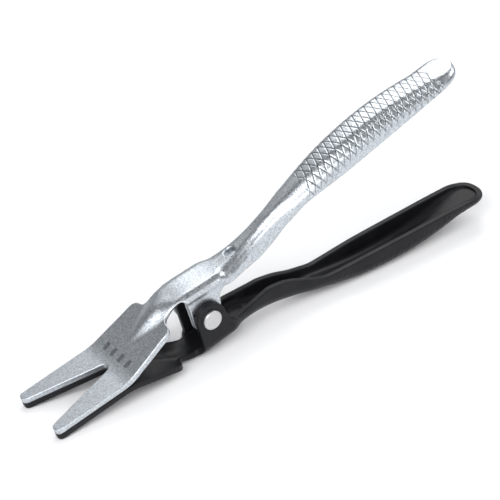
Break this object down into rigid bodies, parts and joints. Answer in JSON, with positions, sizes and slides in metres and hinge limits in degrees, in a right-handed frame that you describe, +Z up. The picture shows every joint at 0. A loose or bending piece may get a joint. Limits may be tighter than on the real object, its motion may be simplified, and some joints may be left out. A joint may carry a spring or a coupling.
{
  "type": "hose separator pliers",
  "caption": "Reverse-action pliers with a pair of thin forked jaws that part when the handles are squeezed, for pushing a hose off its fitting.",
  "frame": {"origin": "middle of the bounding box on the surface that the tool lies on", "axes": "+X from the jaw tips to the handles, +Y along the rivet, +Z up. The tool lies on its lower jaw and the back of its lower handle."},
  "size_m": [0.2152, 0.029, 0.0777],
  "materials": {
    "zinc_plate": "bright zinc plate, satin, with a faint cool tint",
    "black_coat": "semi-gloss black coat",
    "rivet_steel": "flat satin steel"
  },
  "bodies": {
    "lower": {"lower_lever": "black_coat", "pivot_rivet": "rivet_steel"},
    "upper": {"upper_lever": "zinc_plate"}
  },
  "joints": [
    {"name": "pivot_joint", "type": "hinge", "parent": "lower", "child": "upper", "pos_m": [-0.03303, 0, 0.01708], "axis": [0, 1, 0], "range_deg": [0, 24]}
  ]
}
